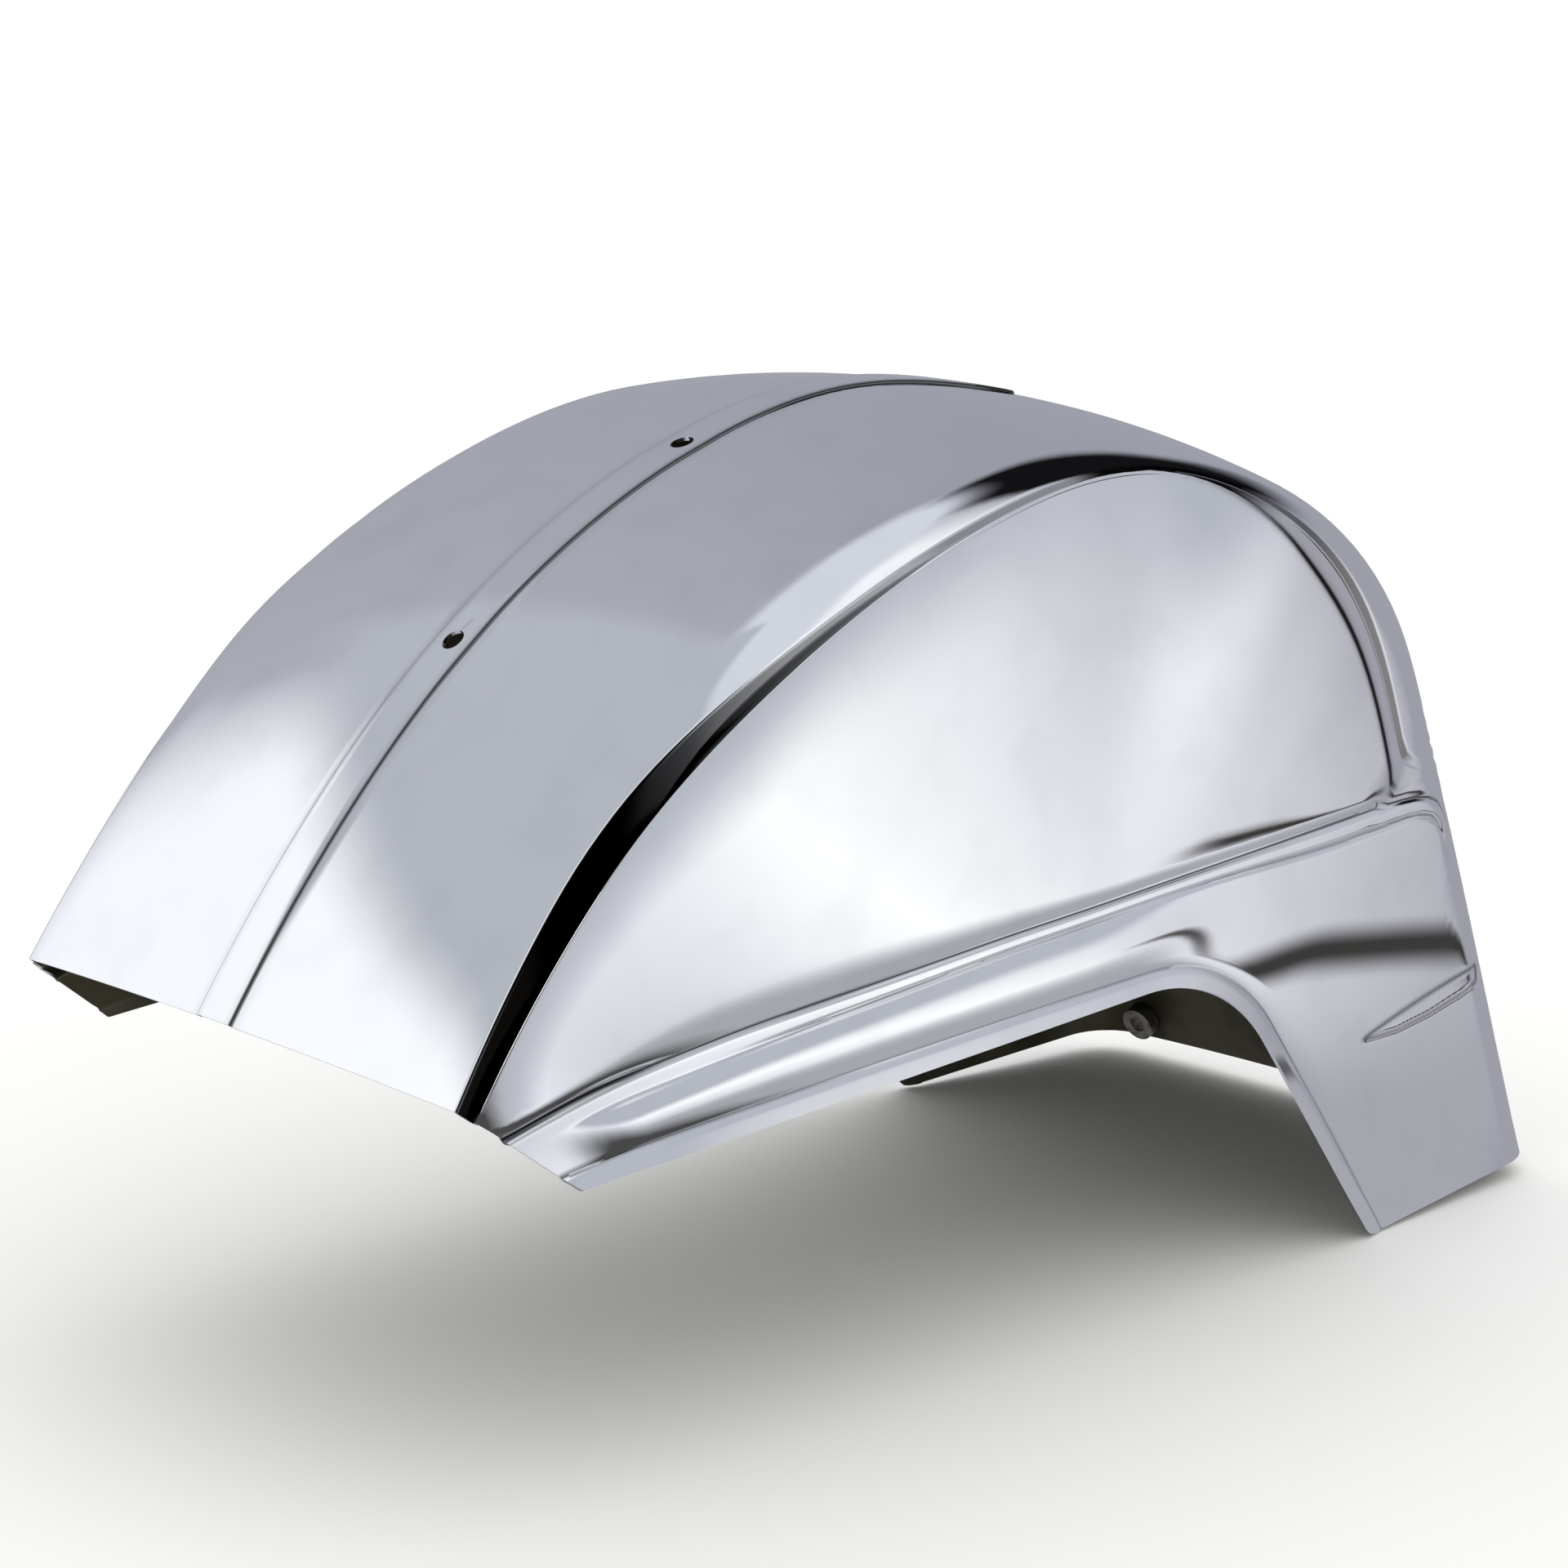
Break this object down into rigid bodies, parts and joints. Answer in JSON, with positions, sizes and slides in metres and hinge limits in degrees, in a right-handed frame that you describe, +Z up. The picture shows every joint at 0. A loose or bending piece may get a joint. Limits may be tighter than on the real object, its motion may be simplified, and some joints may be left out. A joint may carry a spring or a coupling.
{
  "type": "scooter front mudguard",
  "caption": "Deep pressed-steel front mudguard for a small-wheeled scooter, chrome plated, with a raised spine strip, domed cheeks, wheel arch and hanging tail.",
  "frame": {"origin": "centre of the fork hole, on the outer face of the fork seat", "axes": "as fitted: +X to the rear of the scooter, +Z up, -Y to its left"},
  "size_m": [0.4922, 0.2394, 0.2901],
  "materials": {
    "chrome_plate": "bright chrome plating with fine pits outside, dull and stained inside",
    "nut_steel": "dull, discoloured bare steel"
  },
  "bodies": {
    "root": {"mudguard_shell": "chrome_plate", "weld_nut": "nut_steel"}
  },
  "joints": []
}
